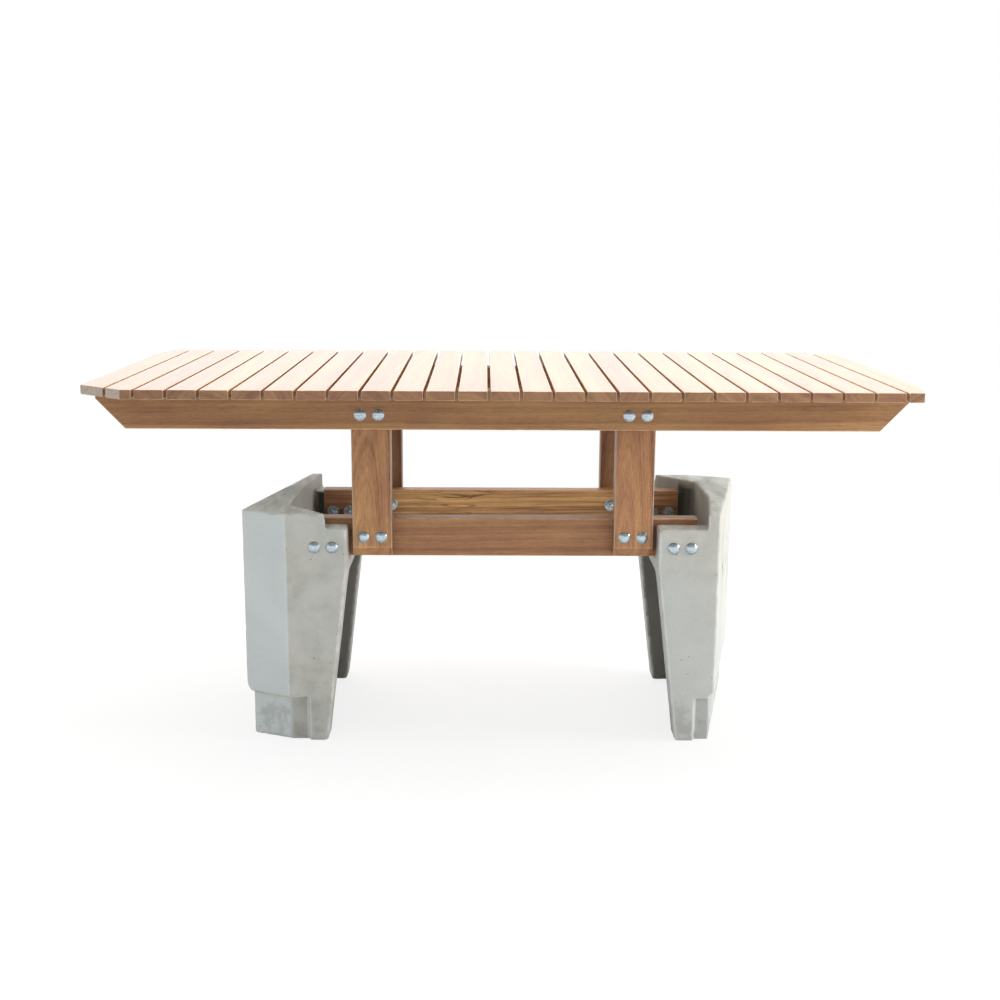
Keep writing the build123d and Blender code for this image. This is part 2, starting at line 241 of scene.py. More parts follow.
# --- Node helpers ---------------------------------------------------------------------------------------
class Nodes:
    """Short calls for building the node tree of a material or a world."""

    def __init__(self, owner):
        owner.use_nodes = True
        self.owner = owner
        self.tree = owner.node_tree
        self.tree.nodes.clear()

    def add(self, kind, inputs=None, **settings):
        node = self.tree.nodes.new("ShaderNode" + kind)
        for key, value in settings.items():
            setattr(node, key, value)
        for key, value in (inputs or {}).items():
            self.feed(node.inputs[key], value)
        return node

    def feed(self, socket, value):
        if isinstance(value, bpy.types.NodeSocket):
            self.tree.links.new(value, socket)
        else:
            socket.default_value = value

    def math(self, operation, a, b=0.0, clamp=False):
        node = self.add("Math", {0: a, 1: b}, operation=operation, use_clamp=clamp)
        return node.outputs[0]

    def span(self, value, low, high, to_low=0.0, to_high=1.0, smooth=True):
        kind = "SMOOTHSTEP" if smooth else "LINEAR"
        inputs = {"Value": value, "From Min": low, "From Max": high, "To Min": to_low, "To Max": to_high}
        return self.add("MapRange", inputs, interpolation_type=kind).outputs["Result"]

    def mix(self, factor, a, b, mode="MIX"):
        node = self.add("Mix", data_type="RGBA", blend_type=mode)
        self.feed(node.inputs["Factor"], factor)
        self.feed(node.inputs[6], a)
        self.feed(node.inputs[7], b)
        return node.outputs[2]

    def scaled(self, vector, scale):
        node = self.add("VectorMath", {0: vector, 1: scale}, operation="MULTIPLY")
        return node.outputs[0]

    def noise(self, vector, scale, detail=3.0, rough=0.5, distort=0.0):
        inputs = {"Vector": vector, "Scale": scale, "Detail": detail, "Roughness": rough}
        inputs["Distortion"] = distort
        return self.add("TexNoise", inputs).outputs["Fac"]

    def attribute(self, name, output="Fac"):
        return self.add("Attribute", attribute_name=name).outputs[output]

    def ramp(self, factor, stops):
        """A colour ramp. Each stop is its position and its colour."""
        node = self.add("ValToRGB", {"Fac": factor})
        elements = node.color_ramp.elements
        while len(elements) < len(stops):
            elements.new(0.5)
        for element, (position, colour) in zip(elements, stops):
            element.position = position
            element.color = colour
        return node.outputs["Color"]

    def finish(self, **inputs):
        shader = self.add("BsdfPrincipled", {key.replace("_", " "): v for key, v in inputs.items()})
        output = self.add("OutputMaterial")
        self.tree.links.new(shader.outputs["BSDF"], output.inputs["Surface"])
        return self.owner


def rgb(r, g, b):
    """A colour given as display values from 0 to 255."""
    linear = [((c / 255 + 0.055) / 1.055) ** 2.4 if c > 10 else c / 255 / 12.92 for c in (r, g, b)]
    return (*linear, 1.0)


# --- Materials ------------------------------------------------------------------------------------------
def growth_rings(n, grain):
    """Rings about the log's heart, bent a little: fine ones and broad ones."""
    wander = n.add("TexNoise", {"Vector": n.scaled(grain, (1.6, 9, 9)), "Scale": 1.0, "Detail": 2.0})
    shift = n.add("VectorMath", {0: wander.outputs["Color"], 1: (0.5, 0.5, 0.5)}, operation="SUBTRACT")
    bent = n.add("VectorMath", {0: n.scaled(shift.outputs[0], (0, 0.020, 0.020)), 1: grain}, operation="ADD")
    across = n.scaled(bent.outputs[0], (0, 1, 1))
    radius = n.add("VectorMath", {0: across}, operation="LENGTH").outputs["Value"]
    fine = n.add("TexNoise", {"W": radius, "Scale": 95.0, "Detail": 3.0, "Roughness": 0.62},
                 noise_dimensions="1D")
    broad = n.add("TexNoise", {"W": radius, "Scale": 58.0, "Detail": 1.0}, noise_dimensions="1D")
    return fine.outputs["Fac"], broad.outputs["Fac"]


def wood_colour(n, warmth, level):
    """Reddish brown to golden brown by warmth, and dark to light by level."""
    red = n.ramp(level, [(0.10, rgb(98, 62, 44)), (0.42, rgb(137, 94, 67)), (0.66, rgb(155, 110, 79)),
                         (0.95, rgb(178, 132, 98))])
    gold = n.ramp(level, [(0.08, rgb(98, 70, 40)), (0.38, rgb(143, 108, 70)), (0.64, rgb(165, 129, 84)),
                          (0.95, rgb(192, 157, 106))])
    return n.mix(warmth, red, gold)


def dark_veins(n, grain, figure):
    """Where dark veins run. They wander with the grain, and show in strongly figured wood."""
    vein = n.noise(n.scaled(grain, (5, 34, 34)), 1.0, 2.0, 0.5, 1.6)
    vein = n.span(n.math("ABSOLUTE", n.math("SUBTRACT", vein, 0.5)), 0.028, 0.004)
    patches = n.span(n.noise(n.scaled(grain, (3, 11, 11)), 1.0, 1.0), 0.46, 0.60)
    return n.math("MULTIPLY", n.math("MULTIPLY", patches, vein), n.span(figure, 0.75, 1.0, 0.12, 0.9))


def timber_material(name, sheen, wear_and_highlight):
    """Oiled hardwood as a solid texture.

    The attribute grain holds metres in the log: X along it, and Y and Z from its heart.
    The attribute tone holds red to golden, dark to light (on some pieces partly painted shade and light),
    and how strong the figure is.
    sheen is the weight of the oil film, and the last argument how far the arrises are painted pale: partly
    rubbed wear, partly a painted highlight.
    """
    n = Nodes(bpy.data.materials.new(name))
    grain = n.attribute("grain", "Vector")
    tone = n.add("SeparateXYZ", {0: n.attribute("tone", "Vector")})
    golden, light, figure = tone.outputs[0], tone.outputs[1], tone.outputs[2]

    rings, broad = growth_rings(n, grain)
    fibres = n.noise(n.scaled(grain, (11, 420, 420)), 1.0, 3.0, 0.6)
    hairs = n.noise(n.scaled(grain, (26, 1500, 1500)), 1.0, 2.0, 0.6)
    pores = n.noise(n.scaled(grain, (70, 2300, 2300)), 1.0, 1.0, 0.4)
    patches = n.noise(n.scaled(grain, (4, 26, 26)), 1.0, 3.0, 0.55, 0.5)

    band = n.math("MULTIPLY", n.math("SUBTRACT", broad, 0.5), figure)
    late = n.math("SUBTRACT", n.span(rings, 0.30, 0.70), 0.5)
    streak = n.math("ADD", n.math("MULTIPLY", late, 0.42), n.math("SUBTRACT", fibres, 0.5))
    figured = n.math("ADD", n.math("MULTIPLY", streak, figure), band)
    cloud = n.math("SUBTRACT", patches, 0.5)
    level = n.math("ADD", n.math("ADD", figured, 0.5), n.math("MULTIPLY", cloud, 0.55))
    warmth = n.math("ADD", golden, n.math("MULTIPLY", cloud, 0.8))
    warmth = n.math("ADD", warmth, n.math("MULTIPLY", band, 1.2), clamp=True)
    colour = n.mix(dark_veins(n, grain, figure), wood_colour(n, warmth, level), rgb(92, 62, 38))

    gain = n.span(light, 0.0, 1.5, 0.5, 2.0, smooth=False)
    gain = n.math("MULTIPLY", gain, n.span(n.attribute("end_grain"), 0, 1, 1.0, 0.84))
    gain = n.math("MULTIPLY", gain, n.span(pores, 0.34, 0.44, 0.74, 1.0))
    colour = n.add("VectorMath", {0: colour, "Scale": gain}, operation="SCALE").outputs[0]
    # Arrises are painted pale: partly rubbed wear, partly a painted highlight.
    rubbed_and_highlit = n.span(n.noise(grain, 60.0), 0.3, 0.7, 0.4 * wear_and_highlight, wear_and_highlight)
    colour = n.mix(n.math("MULTIPLY", n.attribute("arris"), rubbed_and_highlit), colour, rgb(226, 186, 154))
    # The diagonal sawn cuts are painted grey: a painted reflection of white light on the cut faces.
    painted_sheen = n.span(n.noise(grain, 150.0), 0.3, 0.7, 0.6, 0.95)
    colour = n.mix(n.math("MULTIPLY", n.attribute("sawn"), painted_sheen), colour, rgb(158, 148, 136))

    relief = n.math("ADD", n.math("MULTIPLY", fibres, 0.6), n.math("MULTIPLY", hairs, 0.4))
    relief = n.math("SUBTRACT", relief, n.math("MULTIPLY", n.span(pores, 0.44, 0.32), 0.8))
    bump = n.add("Bump", {"Height": relief, "Strength": 0.35, "Distance": 0.0006})
    gloss = n.math("ADD", n.span(fibres, 0.3, 0.7, 0.36, 0.50), n.math("MULTIPLY", patches, 0.10))
    return n.finish(Base_Color=colour, Roughness=gloss, Normal=bump.outputs["Normal"], IOR=1.34,
                    Coat_Weight=sheen, Coat_Roughness=0.3, Coat_IOR=1.3)


def air_holes(n, place, foot):
    """Round air holes, more of them near the foot, and fine pinholes."""
    holes = n.add("TexVoronoi", {"Vector": place, "Scale": 62.0, "Randomness": 1.0})
    kind = n.add("SeparateColor", {0: holes.outputs["Color"]}).outputs[0]
    chosen = n.math("MAXIMUM", n.span(kind, 0.80, 0.84), n.math("MULTIPLY", n.span(kind, 0.42, 0.46), foot))
    pits = n.math("MULTIPLY", n.span(holes.outputs["Distance"], 0.12, 0.05), chosen)
    fine = n.add("TexVoronoi", {"Vector": place, "Scale": 210.0, "Randomness": 1.0})
    sparse = n.span(n.add("SeparateColor", {0: fine.outputs["Color"]}).outputs[1], 0.78, 0.84)
    pinholes = n.math("MULTIPLY", n.span(fine.outputs["Distance"], 0.17, 0.07), sparse)
    return pits, pinholes


def concrete_colour(n, place, mottle):
    """Cloudy greys with faint runs, painted cool light on the long facets, and painted light making the tops
    pale.
    """
    clouds = n.noise(place, 7.0, 4.0, 0.55, 0.4)
    runs = n.noise(n.scaled(place, (46, 46, 3.2)), 1.0, 3.0, 0.6)
    level = n.math("ADD", n.math("MULTIPLY", clouds, 0.62), n.math("MULTIPLY", mottle, 0.32))
    level = n.math("ADD", level, n.math("MULTIPLY", runs, 0.06))
    grey = n.ramp(level, [(0.30, rgb(142, 143, 137)), (0.46, rgb(167, 168, 162)), (0.60, rgb(178, 178, 173)),
                          (0.78, rgb(196, 196, 192))])
    colour = n.mix(n.span(n.noise(place, 2.6, 2.0), 0.40, 0.62, 0.0, 0.5), grey, rgb(172, 179, 178))
    # Faces turned like the long facets are painted cooler and paler: painted cool light from the left.
    normal = n.add("NewGeometry").outputs["Normal"]
    facing = n.add("VectorMath", {0: normal, 1: FACET_NORMAL}, operation="DOT_PRODUCT").outputs["Value"]
    painted_cool_light = n.span(n.math("ABSOLUTE", facing), 0.955, 0.985, 0.0, 0.85)
    colour = n.mix(painted_cool_light, colour, n.mix(clouds, rgb(170, 179, 180), rgb(190, 199, 200)))
    # Upward faces are painted pale and cool: painted light on the tops of the legs.
    streaks = n.noise(n.scaled(place, (30, 9, 30)), 1.0, 4.0, 0.6)
    painted_top_colour = n.mix(n.span(streaks, 0.32, 0.66), rgb(184, 199, 199), rgb(230, 246, 244))
    return n.mix(n.math("MULTIPLY", n.attribute("rinsed"), 0.9), colour, painted_top_colour)


def concrete_material():
    """Smooth cast concrete: cloudy greys, air holes, painted shade in its hollows, painted highlights on the
    arrises, and a rougher, stained foot.
    """
    n = Nodes(bpy.data.materials.new("cast_concrete"))
    place = n.add("TexCoord").outputs["Object"]
    height = n.add("SeparateXYZ", {0: place}).outputs["Z"]
    mottle = n.noise(place, 34.0, 5.0, 0.62)
    sand = n.noise(place, 620.0, 3.0, 0.7)
    ragged = n.math("ADD", height, n.math("MULTIPLY", n.math("SUBTRACT", mottle, 0.5), 0.02))
    foot = n.span(ragged, SKIRT_BOTTOM + 0.022, SKIRT_BOTTOM - 0.040)
    pits, pinholes = air_holes(n, place, foot)

    specks = n.add("CombineColor", {0: sand, 1: sand, 2: sand}).outputs[0]
    colour = n.mix(0.22, concrete_colour(n, place, mottle), specks, "OVERLAY")
    dirt = n.math("MULTIPLY", foot, n.span(mottle, 0.44, 0.62, 0.0, 0.42))
    colour = n.mix(dirt, colour, rgb(128, 127, 119))
    # Painted shade: dark beside the rails' ends, on the arms' inner faces and in the recess under the skirt.
    colour = n.mix(n.math("MULTIPLY", n.attribute("painted_shade"), 0.92), colour, rgb(62, 62, 56))
    # Arrises are painted lighter: partly rubbed wear, partly a painted highlight.
    rubbed_and_highlit = n.math("MULTIPLY", n.attribute("arris"), n.span(mottle, 0.35, 0.6, 0.05, 0.4))
    colour = n.mix(rubbed_and_highlit, colour, rgb(218, 218, 213))
    colour = n.mix(n.math("MULTIPLY", pits, 0.75), colour, rgb(84, 80, 72))
    colour = n.mix(n.math("MULTIPLY", pinholes, 0.55), colour, rgb(100, 96, 88))

    relief = n.math("ADD", n.math("MULTIPLY", mottle, 0.5), n.math("MULTIPLY", sand, 0.22))
    relief = n.math("SUBTRACT", relief, n.math("ADD", pits, n.math("MULTIPLY", pinholes, 0.5)))
    bump = n.add("Bump", {"Height": relief, "Strength": 0.5, "Distance": 0.0012})
    rough = n.math("ADD", n.span(mottle, 0.3, 0.7, 0.62, 0.80), n.math("MULTIPLY", foot, 0.08))
    return n.finish(Base_Color=colour, Roughness=rough, Normal=bump.outputs["Normal"])


def zinc_material():
    """Dull galvanised steel with faint crystals and darker smears."""
    n = Nodes(bpy.data.materials.new("galvanised_steel"))
    place = n.add("TexCoord").outputs["Object"]
    crystals = n.add("TexVoronoi", {"Vector": place, "Scale": 520.0, "Randomness": 1.0})
    cell = n.add("SeparateColor", {0: crystals.outputs["Color"]}).outputs[0]
    smear = n.noise(place, 180.0, 4.0, 0.6)
    level = n.math("ADD", n.math("MULTIPLY", cell, 0.12), n.math("MULTIPLY", smear, 0.88))
    colour = n.ramp(level, [(0.25, rgb(138, 154, 163)), (0.5, rgb(165, 179, 186)),
                            (0.75, rgb(190, 202, 207))])
    scratch = n.noise(n.scaled(place, (1400, 1400, 200)), 1.0, 2.0)
    relief = n.math("ADD", smear, n.math("MULTIPLY", scratch, 0.3))
    bump = n.add("Bump", {"Height": relief, "Strength": 0.05, "Distance": 0.0001})
    rough = n.span(smear, 0.3, 0.7, 0.24, 0.34)
    return n.finish(Base_Color=colour, Metallic=0.92, Roughness=rough, Normal=bump.outputs["Normal"])


TOP_TIMBER = timber_material("oiled_hardwood_top", 0.9, 0.5)
FRAME_TIMBER = timber_material("oiled_hardwood_frame", 0.1, 0.5)
CONCRETE = concrete_material()
ZINC = zinc_material()


# --- Timber ---------------------------------------------------------------------------------------------
BOLTS = [box for node in BOLT_NODES for box in islands(node)]
SCREWS = islands("slat_screws")


def holes_through(node):
    """Cutters for every bolt and screw that passes through a timber."""
    low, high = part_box(node)
    cutters = bmesh.new()
    for bolt_low, bolt_high in BOLTS:
        middle = (bolt_low + bolt_high) / 2
        within = low.x < middle.x < high.x and low.z < middle.z < high.z
        if within and bolt_low.y < high.y and bolt_high.y > low.y:
            start = Vector((middle.x, low.y - 0.001, middle.z))
            end = Vector((middle.x, high.y + 0.001, middle.z))
            rod(cutters, start, end, BOLT_HOLE_RADIUS)
    for screw_low, screw_high in SCREWS:
        middle = (screw_low + screw_high) / 2
        if not (low.x < middle.x < high.x and low.y < middle.y < high.y):
            continue
        if low.z < screw_low.z < high.z:
            head_top = screw_low.z + SCREW_HEAD_HEIGHT
            rod(cutters, Vector((middle.x, middle.y, low.z - 0.001)),
                Vector((middle.x, middle.y, head_top)), ACCESS_HOLE_RADIUS)
            rod(cutters, Vector((middle.x, middle.y, head_top - 0.0005)),
                Vector((middle.x, middle.y, high.z + 0.001)), SCREW_HOLE_RADIUS, 12)
        elif low.z < screw_high.z <= high.z:
            rod(cutters, Vector((middle.x, middle.y, low.z - 0.001)),
                Vector((middle.x, middle.y, screw_high.z)), SCREW_HOLE_RADIUS, 12)
    return cutters


def planed(node, outline, axis, along, rounding, drift_and_shade):
    """The rounded and drilled mesh of a timber, and the planes of its main faces."""
    low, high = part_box(node)
    bm = prism(outline, axis, low[axis], high[axis])
    planes = [(face.normal.copy(), face.calc_center_median()) for face in bm.faces]
    long_edges = []
    for edge in bm.edges:
        run = (edge.verts[1].co - edge.verts[0].co).normalized()
        if abs(run.dot(along)) > 0.999:
            long_edges.append(edge)
    bevel(bm, long_edges, rounding, 4)
    bm.normal_update()
    sharp = [e for e in bm.edges if len(e.link_faces) == 2 and e.calc_face_angle() > math.radians(30)]
    bevel(bm, sharp, END_EASING, 2)
    bmesh.ops.remove_doubles(bm, verts=bm.verts, dist=3e-5)
    bmesh.ops.dissolve_degenerate(bm, edges=bm.edges, dist=1e-5)
    for station in drift_and_shade:
        everything = bm.verts[:] + bm.edges[:] + bm.faces[:]
        bmesh.ops.bisect_plane(bm, geom=everything, plane_co=along * station[0], plane_no=along)
    return carved(mesh_from(bm, node), holes_through(node)), planes


def lay_grain(mesh, centre, along, heart, lean):
    """Stores where each point of a timber lies in its log."""
    side = Z_AXIS if abs(along.z) < 0.5 else X_AXIS
    other = along.cross(side)
    turn = Matrix.Rotation(lean[0], 3, "Y") @ Matrix.Rotation(lean[1], 3, "Z")
    grain = mesh.attributes.new("grain", "FLOAT_VECTOR", "POINT")
    for item, vertex in zip(grain.data, mesh.vertices):
        offset = vertex.co - centre
        item.vector = turn @ Vector((offset.dot(along), offset.dot(other), offset.dot(side))) + heart


def mark_faces(mesh, planes, along, rounding):
    """Stores which faces are arrises, sawn cuts and end grain. A hole's wall is neither arris nor cut."""
    arris = mesh.attributes.new("arris", "FLOAT", "FACE")
    sawn = mesh.attributes.new("sawn", "FLOAT", "FACE")
    end_grain = mesh.attributes.new("end_grain", "FLOAT", "FACE")
    for polygon in mesh.polygons:
        normal = polygon.normal
        flat = any(normal.dot(main) > 0.999 for main, _ in planes)
        close = sum((place - polygon.center).dot(main) < rounding for main, place in planes)
        diagonal = abs(normal.x * normal.y) > 0.1 and abs(normal.z) < 0.1
        arris.data[polygon.index].value = float(close > 1 and not flat)
        sawn.data[polygon.index].value = float(close > 0 and diagonal)
        end_grain.data[polygon.index].value = float(abs(normal.dot(along)) > 0.8)
        polygon.use_smooth = not flat


def timber(node, outline, axis, along, rounding, heart, lean, tone, drift_and_shade=()):
    """Makes a planed timber for a CAD node.

    outline is the timber's convex shape seen along axis, and along is the direction of its grain.
    heart is where the log's heart lies from the timber's middle, in the directions across the grain,
    lean is how the grain runs out of the timber, and tone is its colour. The last argument has rows of a
    place along the timber and the tone's first two values there, for a log whose colour changes along it and
    which is painted darker where shade falls.
    """
    mesh, planes = planed(node, outline, axis, along, rounding, drift_and_shade)
    low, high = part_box(node)
    lay_grain(mesh, (low + high) / 2, along, heart, lean)
    tones = mesh.attributes.new("tone", "FLOAT_VECTOR", "POINT")
    for item, vertex in zip(tones.data, mesh.vertices):
        item.vector = (*between(drift_and_shade, vertex.co.dot(along)), tone[2]) if drift_and_shade else tone
    mark_faces(mesh, planes, along, rounding)
    slot, material = ("slat_timber", TOP_TIMBER) if node in SLATS else ("frame_timber", FRAME_TIMBER)
    return publish(mesh, node + "_timber", node, material)


def between(rows, place):
    """The values at a place, straight-line between rows that each begin with their own place."""
    for one, two in zip(rows, rows[1:]):
        if place <= two[0]:
            break
    part = min(1.0, max(0.0, (place - one[0]) / (two[0] - one[0])))
    return [a + (b - a) * part for a, b in zip(one[1:], two[1:])]


def within_cut(point, corner, legs):
    """Positive on the inner side of the diagonal that takes off a corner, 0 on it."""
    return abs(corner[0] - point[0]) / legs[0] + abs(corner[1] - point[1]) / legs[1] - 1


def clipped(outline, corner, legs):
    """A convex outline without the corner that a diagonal cut takes off."""
    result = []
    for here, after in zip(outline, outline[1:] + outline[:1]):
        a, b = within_cut(here, corner, legs), within_cut(after, corner, legs)
        if a > 0:
            result.append(here)
        if (a > 0) != (b > 0):
            part = a / (a - b)
            result.append(tuple(p + (q - p) * part for p, q in zip(here, after)))
    return result


def build_slats():
    """The top. Its slats are painted a little lighter from left to right: painted light from the right."""
    chance = random.Random(11)
    middle = len(SLATS) // 2
    x = -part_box(SLATS[0])[0].x
    y = -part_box(SLATS[middle])[0].y
    cuts = [((-x, -y), WIDE_CORNER), ((x, y), WIDE_CORNER), ((x, -y), STEEP_CORNER), ((-x, y), STEEP_CORNER)]
    for index, node in enumerate(SLATS):
        low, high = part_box(node)
        outline = [(low.x, -y), (high.x, -y), (high.x, y), (low.x, y)]
        for corner, legs in cuts:
            outline = clipped(outline, corner, legs)
        heart = Vector((chance.uniform(-9, 9), chance.uniform(-0.12, 0.12), chance.uniform(0.05, 0.16)))
        lean = (math.radians(chance.uniform(-1.6, 1.6)), math.radians(chance.uniform(-1.0, 1.0)))
        golden = chance.uniform(0.05, 0.55)
        # The slope along the top paints the left slats darker and the right ones lighter: painted light from
        # the right.
        light = chance.uniform(0.38, 0.54) + 0.012 * (index - middle)
        figure = chance.uniform(0.35, 0.65)
        timber(node, outline, 2, Y_AXIS, SLAT_ROUNDING, heart, lean, (golden, light, figure))


# Rows of a place along the back lower rail, how golden it is and how light: its dark ends are painted shade
# from the legs.
BACK_RAIL_TONE_AND_PAINTED_SHADE = [(-0.40, 0.15, 0.34), (-0.29, 0.3, 0.44), (-0.22, 0.95, 1.22), (0.22, 0.95, 1.18),
                   (0.30, 0.7, 0.72), (0.40, 0.55, 0.55)]

# Each rail's heart in metres, the lean of its grain in degrees, and its tone.
RAIL_LOOKS = {
    "top_rail_front": ((3.1, 0.02, 0.30), (0.5, 0.3), (0.60, 0.49, 0.42)),
    "top_rail_back": ((7.4, -0.03, 0.24), (-0.3, 0.1), (0.40, 0.46, 0.5)),
    "lower_rail_front": ((1.7, 0.04, 0.19), (0.9, 0.4), (0.25, 0.46, 0.45)),
    "lower_rail_back": ((5.2, 0.05, 0.075), (1.1, 0.4), (0.95, 0.98, 1.0)),
}

# How light each post is; the back posts are painted darker, partly as painted shade.
POST_LIGHT_AND_PAINTED_SHADE = {
    "post_front_left": 0.65,
    "post_front_right": 0.68,
    "post_back_left": 0.25,
    "post_back_right": 0.44,
}


def build_rails():
    for node, (heart, lean, tone) in RAIL_LOOKS.items():
        low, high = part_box(node)
        if "top" in node:
            cut_x, cut_z = RAIL_CORNER_CUT
            outline = [(low.x, low.z + cut_z), (low.x + cut_x, low.z), (high.x - cut_x, low.z),
                       (high.x, low.z + cut_z), (high.x, high.z), (low.x, high.z)]
        else:
            outline = [(low.x, low.z), (high.x, low.z), (high.x, high.z), (low.x, high.z)]
        drift_and_shade = BACK_RAIL_TONE_AND_PAINTED_SHADE if node == "lower_rail_back" else ()
        lean = [math.radians(angle) for angle in lean]
        timber(node, outline, 1, X_AXIS, BEAM_ROUNDING, Vector(heart), lean, tone, drift_and_shade)


def build_posts():
    """The posts, each with a bevel at the foot of its outer face."""
    chance = random.Random(5)
    bevel_y, bevel_z = POST_FOOT_BEVEL
    for node, light in POST_LIGHT_AND_PAINTED_SHADE.items():
        low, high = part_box(node)
        outline = [(low.y, high.z), (high.y, high.z)]
        if "front" in node:
            outline += [(high.y, low.z), (low.y + bevel_y, low.z), (low.y, low.z + bevel_z)]
        else:
            outline += [(high.y, low.z + bevel_z), (high.y - bevel_y, low.z), (low.y, low.z)]
        heart = Vector((chance.uniform(-6, 6), chance.uniform(0.03, 0.05), chance.uniform(-0.02, 0.02)))
        lean = [math.radians(chance.uniform(-2.0, 2.0)), math.radians(chance.uniform(3.0, 6.0))]
        tone = (chance.uniform(0.25, 0.45), light, 0.75)
        timber(node, outline, 0, Z_AXIS, BEAM_ROUNDING, heart, lean, tone)


# --- Concrete -------------------------------------------------------------------------------------------
def ease(value, low, high):
    """0 at low, 1 at high and smooth between. high may be the smaller one."""
    part = min(1.0, max(0.0, (value - low) / (high - low)))
    return part * part * (3 - 2 * part)


def painted_shade_at(place, normal):
    """How much painted shade a point of a leg gets: on the arms' inner faces, at the rails' ends, in the
    recess.
    """
    across = abs(place.x)
    inward = ease(-normal.y * math.copysign(1, place.y), 0.2, 0.6)
    inside = ease(abs(place.y), ARM_INNER_Y + 0.006, ARM_INNER_Y + 0.002)
    beside = ease(across, LOWER_RAIL_END + 0.045, LOWER_RAIL_END + 0.012) * ease(place.z, 0.36, 0.38)
    below = ease(place.z, LOWER_RAIL_TOP + 0.022, LOWER_RAIL_TOP - 0.002)
    recess = ease(place.z, SKIRT_BOTTOM + 0.002, SKIRT_BOTTOM - 0.004)
    recess *= ease(across, PLINTH_END, PLINTH_END + 0.003)
    recess *= ease(across, ARM_OUTER_END + 0.003, ARM_OUTER_END)
    return max(RECESS_PAINTED_SHADE * recess, inward * inside * below * max(beside, ARM_PAINTED_SHADE))


def at_arm_end(place):
    """Whether a point lies on the end of an arm, or within 8 mm of it."""
    lean = ARM_TAPER * (1 - min(place.z, ARM_TAPER_TOP) / ARM_TAPER_TOP)
    return abs(place.x) < ARM_END_X + lean + 0.008 and abs(place.y) > ARM_INNER_Y - 0.008


def arris_tree(bm):
    """A tree of points along every sharp edge."""
    points = []
    for edge in bm.edges:
        if len(edge.link_faces) == 2 and edge.calc_face_angle() > math.radians(12):
            a, b = (v.co for v in edge.verts)
            steps = max(1, math.ceil((b - a).length / 0.002))
            points += [a.lerp(b, i / steps) for i in range(steps + 1)]
    tree = KDTree(len(points))
    for index, point in enumerate(points):
        tree.insert(point, index)
    tree.balance()
    return tree


def remeshed_leg(node):
    """The casting on an even net of points, with soft arrises, softest at the arms' ends.

    Gives the net, and how far the rounding has drawn each of its points in, from 0 to 1.
    """
    source = bmesh.new()
    source.from_mesh(NODES[node].data)
    bmesh.ops.remove_doubles(source, verts=source.verts, dist=1e-5)
    surface = BVHTree.FromBMesh(source)
    arrises = arris_tree(source)
    mesh = evaluated(mesh_from(source, node), ("REMESH", {"mode": "VOXEL", "voxel_size": CASTING_VOXEL}))
    bm = bmesh.new()
    bm.from_mesh(mesh)
    true_places = [surface.find_nearest(v.co)[0] for v in bm.verts]
    distances = [arrises.find(v.co)[2] for v in bm.verts]
    ends = [v for v in bm.verts if at_arm_end(v.co)]
    for verts in [bm.verts] * 2 + [ends] * 5:
        bmesh.ops.smooth_vert(bm, verts=verts, factor=0.5, use_axis_x=True, use_axis_y=True,
                              use_axis_z=True)
    for vertex, place, distance in zip(bm.verts, true_places, distances):
        reach = ARM_END_ROUNDING if at_arm_end(place) else ARRIS_ROUNDING
        vertex.co = place.lerp(vertex.co, ease(distance, reach, 0.3 * reach))
    bm.normal_update()
    shifts = [(v.co - place).length for v, place in zip(bm.verts, true_places)]
    return bm, [min(1.0, 4 * shift / CASTING_VOXEL) for shift in shifts]


def build_leg(node, seed):
    """The casting: true faces with slight waves, soft arrises with small chips."""
    bm, drawn_in = remeshed_leg(node)
    shift = Vector((seed, 3 * seed, 5 * seed))
    for vertex, edge in zip(bm.verts, drawn_in):
        place = vertex.co + shift
        wave = noise.noise(place * 9) * CASTING_WAVE + noise.noise(place * 40) * CASTING_RIPPLE
        chip = max(0.0, noise.noise(place * 55) - 0.30) * edge * CHIP_DEPTH
        vertex.co += vertex.normal * (wave - chip - 0.0004)
    mesh = mesh_from(bm, node)
    # Painted shade in the hollows and painted light on the upward faces, stored for the material.
    values = {
        "arris": drawn_in,
        "painted_shade": [painted_shade_at(v.co, v.normal) for v in mesh.vertices],
        "rinsed": [ease(v.normal.z, 0.6, 0.95) for v in mesh.vertices],
    }
    for name, numbers in values.items():
        mesh.attributes.new(name, "FLOAT", "POINT").data.foreach_set("value", numbers)
    for polygon in mesh.polygons:
        polygon.use_smooth = True
    return publish(mesh, node + "_casting", node, CONCRETE)


# --- Fixings --------------------------------------------------------------------------------------------
def cup_bolt_profile(length):
    """A cup-head bolt from the top of its head to the tip of its thread."""
    profile = []
    sphere = (CUP_RADIUS ** 2 + CUP_HEIGHT ** 2) / (2 * CUP_HEIGHT)
    widest = math.asin(CUP_RADIUS / sphere)
    for step in range(11):
        angle = widest * step / 10 * 0.985
        profile.append((sphere * math.sin(angle), CUP_HEIGHT - sphere + sphere * math.cos(angle)))
    profile += [(CUP_RADIUS, STEEL_EASING), (CUP_RADIUS - STEEL_EASING, 0.0), (BOLT_RADIUS, 0.0)]
    start = -(length - THREAD_LENGTH)
    profile.append((BOLT_RADIUS, start))
    turns = int(THREAD_LENGTH / THREAD_PITCH)
    for turn in range(turns):
        top = start - turn * THREAD_PITCH
        profile += [(BOLT_RADIUS, top - 0.0002), (BOLT_RADIUS - THREAD_DEPTH, top - THREAD_PITCH / 2)]
    profile += [(BOLT_RADIUS - 0.0004, -length + 0.0008), (BOLT_RADIUS - 0.0012, -length), (0, -length)]
    return profile


def publish_zinc(bm, node, degrees):
    """Publishes steel shaded smooth, apart from edges sharper than an angle in degrees."""
    mesh = mesh_from(bm, node)
    for polygon in mesh.polygons:
        polygon.use_smooth = True
    mesh.set_sharp_from_angle(angle=math.radians(degrees))
    return publish(mesh, node + "_zinc", node, ZINC)


